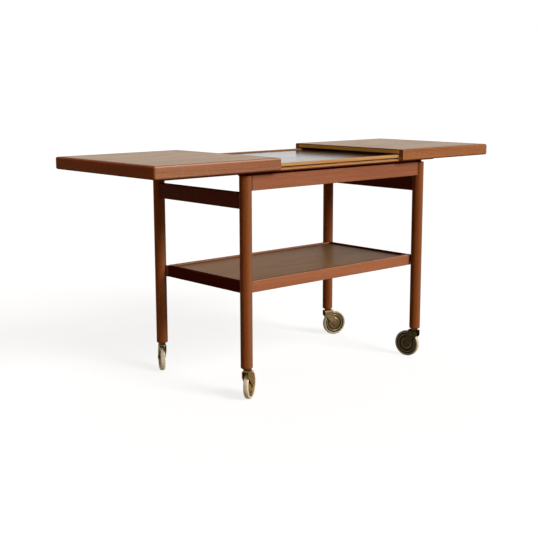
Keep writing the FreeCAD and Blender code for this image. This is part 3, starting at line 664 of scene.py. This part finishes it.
def tyre(name, corner, seed):
    """Aged cream rubber: sides darkened by soil and painted shade, a brown bead next to the metal, a
    worn tread with a seam, each tread's brightness painted light and shade.
    """
    shader = Shader(name)
    place = shader.vector("ADD", shader.place(), (RUBBER_SEED_STEP * seed, 0.0, 0.0))
    radius, side = wheel_radius(shader, corner)
    blotch = shader.noise(place, *BLOTCHES)
    grit = shader.noise(place, *GRIT)
    colour = shader.ramp(blotch, *toned(RUBBER_COLOURS, TREAD_LIGHT[corner]))
    soil_and_shade = shader.steps(radius, *TYRE_SIDE, 1.0 - TYRE_SIDE_LIGHT[corner], 0.0)
    colour = shader.mix(soil_and_shade, colour, RUBBER_SOIL_AND_SHADE)
    bead = shader.steps(radius, *TYRE_BEAD, BEAD_STRENGTH, 0.0)
    colour = shader.mix(bead, colour, RUBBER_BEAD)
    worn = shader.math("MULTIPLY", shader.steps(radius, *TYRE_TREAD),
                       shader.steps(blotch, *WORN_BLOTCHES))
    colour = shader.cover(colour, worn, WORN_STRENGTH, RUBBER_WORN)
    seam = ring(shader, side, 0.0, TYRE_SEAM)
    colour = shader.cover(colour, seam, SEAM_STRENGTH, RUBBER_SEAM)
    height = shader.plus(blotch, grit, GRIT_RELIEF)
    plain, gritty = RUBBER_ROUGHNESS
    rough = shader.plus(plain, grit, gritty)
    return shader.finish(Base_Color=colour, Roughness=rough, Normal=shader.bump(height, RUBBER_RELIEF))


# ---------------------------------------------------------------- finishes of the CAD pieces
def paint(node, material):
    """Gives a CAD node one material in all its slots."""
    for material_slot in NODES[node].material_slots:
        material_slot.material = material


def paint_frame():
    """Legs, aprons, rails, strips, battens, dowels and the castors' sockets."""
    for seed, corner in enumerate(CORNERS):
        # the back legs brighter and one side paler: painted light
        mean = scaled(TEAK_LEG, LEG_TONE[corner])
        paint("leg_" + corner, wood("teak_leg_" + corner, "Z", 3 + seed, mean, gloss=0.015,
                                    lit_paling=LEG_LIT_PALING))
    for seed, side in enumerate(("front", "back")):
        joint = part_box("apron_" + side)[1][0] - JOINT_WIDTH
        paint("apron_" + side, wood("teak_apron_" + side, "X", 11 + seed, TEAK_APRON, spread=0.42,
                                    edge_light=APRON_EDGE_LIGHT, joint=joint))
    for seed, side in enumerate(SIDES):
        # end rails in darker teak: painted shade
        paint("end_rail_" + side, wood("teak_end_rail_" + side, "Y", 17 + seed, TEAK_END_RAIL_SHADED,
                                       gloss=0.02))
    # dark red gap strips: painted shade of the gap
    paint("gap_strips", wood("teak_gap_strips", "X", 21, TEAK_GAP_SHADE, gloss=0.0, corner_shade=0))
    paint("cross_battens", wood("beech_battens", "Y", 23, BEECH, roughness=0.55))
    paint("frame_dowels", wood("beech_frame_dowels", "X", 24, BEECH, roughness=0.6))
    paint("castor_sockets", brass("brass_sockets", 20, SOCKET_TONE))


def paint_shelf():
    """The shelf's lips, panel and dowels."""
    for seed, (side, along) in enumerate(LIPS):
        # side lips in darker teak: painted shade
        mean, gloss, edge_light = TEAK_SHELF_SIDE_SHADED, 0.0, SHELF_SIDE_EDGE_LIGHT
        if along == "X":
            mean, gloss, edge_light = TEAK_SHELF_LIP, 0.05, SHELF_LIP_EDGE_LIGHT
        paint("shelf_lip_" + side, wood("teak_shelf_lip_" + side, along, 29 + seed, mean,
                                        gloss=gloss, edge_light=edge_light))
    # the panel darkens along X: painted shade
    paint("shelf_panel", wood("veneer_shelf", "X", 36, SHELF_VENEER, spread=0.38, figure=0.22,
                              spacing=0.009, roughness=0.34, gloss=0.012, seam="shelf_panel",
                              shade_along_x=SHELF_SHADE))
    paint("shelf_dowels", wood("beech_shelf_dowels", "Y", 38, BEECH, roughness=0.6))


def paint_board():
    """The centre board's lips, laminate and core."""
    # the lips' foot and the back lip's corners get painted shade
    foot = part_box("board_lip_front")[0][2] + LIP_FOOT
    for seed, (side, along) in enumerate(LIPS):
        mean, corner_shade = (BACK_LIP_WOOD, 0.75) if side == "back" else (LIGHT_WOOD, 0)
        paint("board_lip_" + side, wood("light_lip_" + side, along, 41 + seed, mean, gloss=0.12,
                                        corner_shade=corner_shade, low=(foot, PAINT_BLUR, LIP_SHADE)))
    paint("board_laminate", laminate("dark_laminate"))
    paint("board_core", wood("board_core_wood", "Y", 47, CORE_BOARD, roughness=0.7))


def paint_leaf(side, seed):
    """One leaf's panel, inner lipping, rails, tongues and stop pins."""
    leaf = "leaf_" + side + "_"
    panel = leaf + "panel"
    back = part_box(panel)[0][2] + VENEER_EDGE
    paint(panel, wood("veneer_" + panel, "X", seed, VENEER[side], spread=0.46, figure=0.26,
                      spacing=0.0085, roughness=0.40, gloss=0.36, seam=panel,
                      low=(back, PAINT_BLUR, VENEER_BACK)))
    lipping = leaf + "inner_lipping"
    low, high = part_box(lipping)
    middle = low[2] + HONEY_SHARE * (high[2] - low[2])
    paint(lipping, wood("two_tone_" + lipping, "Y", seed + 1, OLIVE_BROWN, gloss=0.03,
                        low=(middle, HONEY_BLUR, HONEY)))
    for step, (rail, along) in enumerate((("front", "X"), ("back", "X"), ("end", "Y"))):
        # end rails in darker teak: painted shade; all rails get painted light and shade on their edges
        mean, gloss, edge_light = TEAK_LEAF_END_SHADED, 0.02, LEAF_END_EDGE_LIGHT
        if along == "X":
            mean, gloss, edge_light = TEAK_LEAF[side], 0.06, LEAF_EDGE_LIGHT[side]
        paint(leaf + "rail_" + rail, wood("teak_" + leaf + rail, along, seed + 2 + step, mean,
                                          spread=0.44, gloss=gloss, edge_light=edge_light))
    paint(leaf + "tongues", wood("beech_" + leaf + "tongues", "X", seed + 6, BEECH, roughness=0.5))
    paint(leaf + "stop_pins", steel("steel_" + leaf + "pins"))


def paint_castor(corner, seed):
    """One castor's fork, wheel, axle, tyre and stem."""
    castor = "castor_" + corner + "_"
    # each castor's brass tone: the darker ones are painted shade
    tone = CASTOR_SHADE_TONE[corner]
    paint(castor + "fork", brass("brass_fork_" + corner, seed, FORK_SHADE_TONE[corner]))
    paint(castor + "wheel", brass("brass_wheel_" + corner, seed + 5, tone, corner))
    paint(castor + "axle", brass("brass_axle_" + corner, seed + 9, tone))
    paint(castor + "tyre", tyre("rubber_tyre_" + corner, corner, seed))
    paint(castor + "stem", brass("brass_stem_" + corner, seed + 13, STEM_TONE))


# ---------------------------------------------------------------- screws
def mesh_of(name, solid):
    """A mesh from a bmesh, which is freed."""
    mesh = bpy.data.meshes.new(name)
    solid.to_mesh(mesh)
    solid.free()
    return mesh


def object_of(name, mesh):
    """A mesh as an object in the scene."""
    made = bpy.data.objects.new(name, mesh)
    bpy.context.scene.collection.objects.link(made)
    return made


def turned_solid(profile, segments=48):
    """A closed solid of revolution about Z. profile is (radius, height) from axis to axis."""
    solid = bmesh.new()
    vertices = [solid.verts.new((radius, 0, height)) for radius, height in profile]
    edges = [solid.edges.new(pair) for pair in zip(vertices, vertices[1:])]
    bmesh.ops.spin(solid, geom=vertices + edges, cent=(0, 0, 0), axis=(0, 0, 1),
                   angle=2 * math.pi, steps=segments, use_merge=True)
    bmesh.ops.remove_doubles(solid, verts=solid.verts, dist=1e-6)
    bmesh.ops.recalc_face_normals(solid, faces=solid.faces)
    return solid


def screw_blank(length):
    """A countersunk screw without its slot, along +Z, its head's flat at the origin."""
    return turned_solid([
        (0, 0),
        (SCREW_HEAD_RADIUS - SCREW_RIM_WIDTH, 0),
        (SCREW_HEAD_RADIUS, SCREW_RIM_DEPTH),
        (SCREW_SHANK_RADIUS, SCREW_HEAD_DEPTH),
        (SCREW_SHANK_RADIUS, length - SCREW_POINT),
        (0, length)])


def slot_cutter():
    """A bar across the head, half of it inside the screw."""
    cutter = bmesh.new()
    bmesh.ops.create_cube(cutter, size=1.0)
    bmesh.ops.scale(cutter, verts=cutter.verts,
                    vec=(4 * SCREW_HEAD_RADIUS, SCREW_SLOT_WIDTH, 2 * SCREW_SLOT_DEPTH))
    return cutter


def slotted_screw(length):
    """The mesh of a screw with a slot cut across its head."""
    screw = object_of("screw_blank", mesh_of("screw_blank", screw_blank(length)))
    slot = object_of("screw_slot", mesh_of("screw_slot", slot_cutter()))
    cut = screw.modifiers.new("slot", "BOOLEAN")
    cut.operation = "DIFFERENCE"
    cut.solver = "EXACT"
    cut.object = slot
    bpy.context.view_layer.update()
    graph = bpy.context.evaluated_depsgraph_get()
    mesh = bpy.data.meshes.new_from_object(screw.evaluated_get(graph))
    for made in (screw, slot):
        bpy.data.objects.remove(made)
    return mesh


def screw_group(node, places):
    """Slotted screws in place of a node of plain ones. places: head centre and direction of each."""
    pattern = slotted_screw(SCREW_LENGTH[node])
    group = bmesh.new()
    for count, (centre, direction) in enumerate(places):
        screw = pattern.copy()
        turn = math.radians(SCREW_FIRST_TURN + SCREW_NEXT_TURN * count)
        spin = Matrix.Rotation(turn, 4, "Z")
        aim = Vector(direction).to_track_quat("Z", "Y").to_matrix().to_4x4()
        screw.transform(Matrix.Translation(centre) @ aim @ spin)
        group.from_mesh(screw)
    mesh = mesh_of(node + "_slotted", group)
    mesh.materials.append(steel("steel_" + node))
    piece = object_of(node + "_slotted", mesh)
    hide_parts(node)
    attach(piece, "frame")


def add_board_screws():
    """Four upright screws, one in each corner of the plain ones' box."""
    low, high = (Vector(corner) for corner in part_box("board_screws"))
    reach_x = high.x - SCREW_HEAD_RADIUS
    reach_y = high.y - SCREW_HEAD_RADIUS
    screw_group("board_screws", [(Vector((x * reach_x, y * reach_y, low.z)), (0, 0, 1))
                                 for x in (-1, 1) for y in (-1, 1)])


def add_shelf_screws():
    """Four level screws, each from a corner of the shelf's panel into its leg."""
    panel = Vector(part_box("shelf_panel")[1])
    low, high = (Vector(corner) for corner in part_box("shelf_screws"))
    level = (low.z + high.z) / 2
    places = []
    for corner in CORNERS:
        leg_low, leg_high = (Vector(point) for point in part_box("leg_" + corner))
        leg = (leg_low + leg_high) / 2
        head = Vector((math.copysign(panel.x, leg.x), math.copysign(panel.y, leg.y), level))
        places.append((head, (leg.x - head.x, leg.y - head.y, 0)))
    screw_group("shelf_screws", places)


# ---------------------------------------------------------------- light, floor and camera
def world_light():
    """White where it is seen or mirrored; elsewhere a soft fill, weaker on one side."""
    world = bpy.data.worlds.new("studio")
    bpy.context.scene.world = world
    world.use_nodes = True
    nodes = Nodes(world.node_tree)
    direction = nodes.node("TexCoord").outputs["Generated"]
    towards = nodes.vector("DOT_PRODUCT", direction, tuple(Vector(FILL_SIDE).normalized()))
    tint = nodes.mix(nodes.steps(towards, -1.0, 1.0), FILL_AWAY, FILL_TOWARDS)
    behind = nodes.vector("DOT_PRODUCT", direction, tuple(Vector(BACK_SIDE).normalized()))
    tint = nodes.mix(nodes.steps(behind, BACK_EDGE, 1.0), tint, FILL_BACK)
    fill = nodes.node("Background", {"Color": tint, "Strength": 1.0}).outputs[0]
    white = nodes.node("Background", {"Color": (1, 1, 1), "Strength": 1.0}).outputs[0]
    surface = nodes.node("MixShader", {"Fac": nodes.seen(), 1: fill, 2: white}).outputs[0]
    nodes.node("OutputWorld", {"Surface": surface})


def key_light():
    """One large soft lamp, in front and to the right."""
    turn, height = math.radians(KEY_TURN), math.radians(KEY_HEIGHT)
    level = math.cos(height)
    source = Vector((level * math.sin(turn), -level * math.cos(turn), math.sin(height)))
    light = bpy.data.lights.new("key", "SUN")
    light.energy = KEY_STRENGTH
    light.angle = math.radians(KEY_SOFTNESS)
    light.color = KEY_COLOUR
    lamp = bpy.data.objects.new("key", light)
    lamp.rotation_mode = "QUATERNION"
    lamp.rotation_quaternion = source.to_track_quat("Z", "Y")
    bpy.context.scene.collection.objects.link(lamp)


def floor():
    """A wide pale floor that keeps the trolley's shadow and throws little light back."""
    reach = FLOOR_REACH
    mesh = bpy.data.meshes.new("floor")
    mesh.from_pydata([(-reach, -reach, 0), (reach, -reach, 0), (reach, reach, 0), (-reach, reach, 0)],
                     [], [(0, 1, 2, 3)])
    object_of("floor", mesh)
    shader = Shader("pale_floor")
    shaded = shader.node("BsdfDiffuse", {"Color": (FLOOR_SHADE,) * 3}).outputs[0]
    glow = shader.node("Emission", {"Color": (1, 1, 1), "Strength": FLOOR_GLOW}).outputs[0]
    pale = shader.node("AddShader", {0: shaded, 1: glow}).outputs[0]
    bounce = shader.node("BsdfDiffuse", {"Color": FLOOR_BOUNCE}).outputs[0]
    surface = shader.node("MixShader", {"Fac": shader.seen(), 1: bounce, 2: pale}).outputs[0]
    shader.node("OutputMaterial", {"Surface": surface})
    mesh.materials.append(shader.material)


def camera():
    """The camera, in front of the trolley's left end and a little above its top."""
    down, yaw, roll = (math.radians(a) for a in (CAMERA_DOWN, CAMERA_YAW, CAMERA_ROLL))
    forward = Vector((math.sin(yaw) * math.cos(down), math.cos(yaw) * math.cos(down), -math.sin(down)))
    level = Vector((math.cos(yaw), -math.sin(yaw), 0))
    above = level.cross(forward)
    right = level * math.cos(roll) + above * math.sin(roll)
    up = above * math.cos(roll) - level * math.sin(roll)
    data = bpy.data.cameras.new("camera")
    data.lens = CAMERA_LENS
    data.sensor_width = SENSOR_WIDTH
    made = bpy.data.objects.new("camera", data)
    rotation = Matrix((right, up, -forward)).transposed()
    made.matrix_world = Matrix.Translation(CAMERA_PLACE) @ rotation.to_4x4()
    bpy.context.scene.collection.objects.link(made)
    bpy.context.scene.camera = made


# ---------------------------------------------------------------- build
paint_frame()
paint_shelf()
paint_board()
for leaf_side in SIDES:
    paint_leaf(leaf_side, LEAF_SEED[leaf_side])
for castor_seed, castor_corner in enumerate(CORNERS):
    paint_castor(castor_corner, castor_seed)
add_board_screws()
add_shelf_screws()
world_light()
key_light()
floor()
camera()
bpy.context.scene.view_settings.view_transform = "Standard"
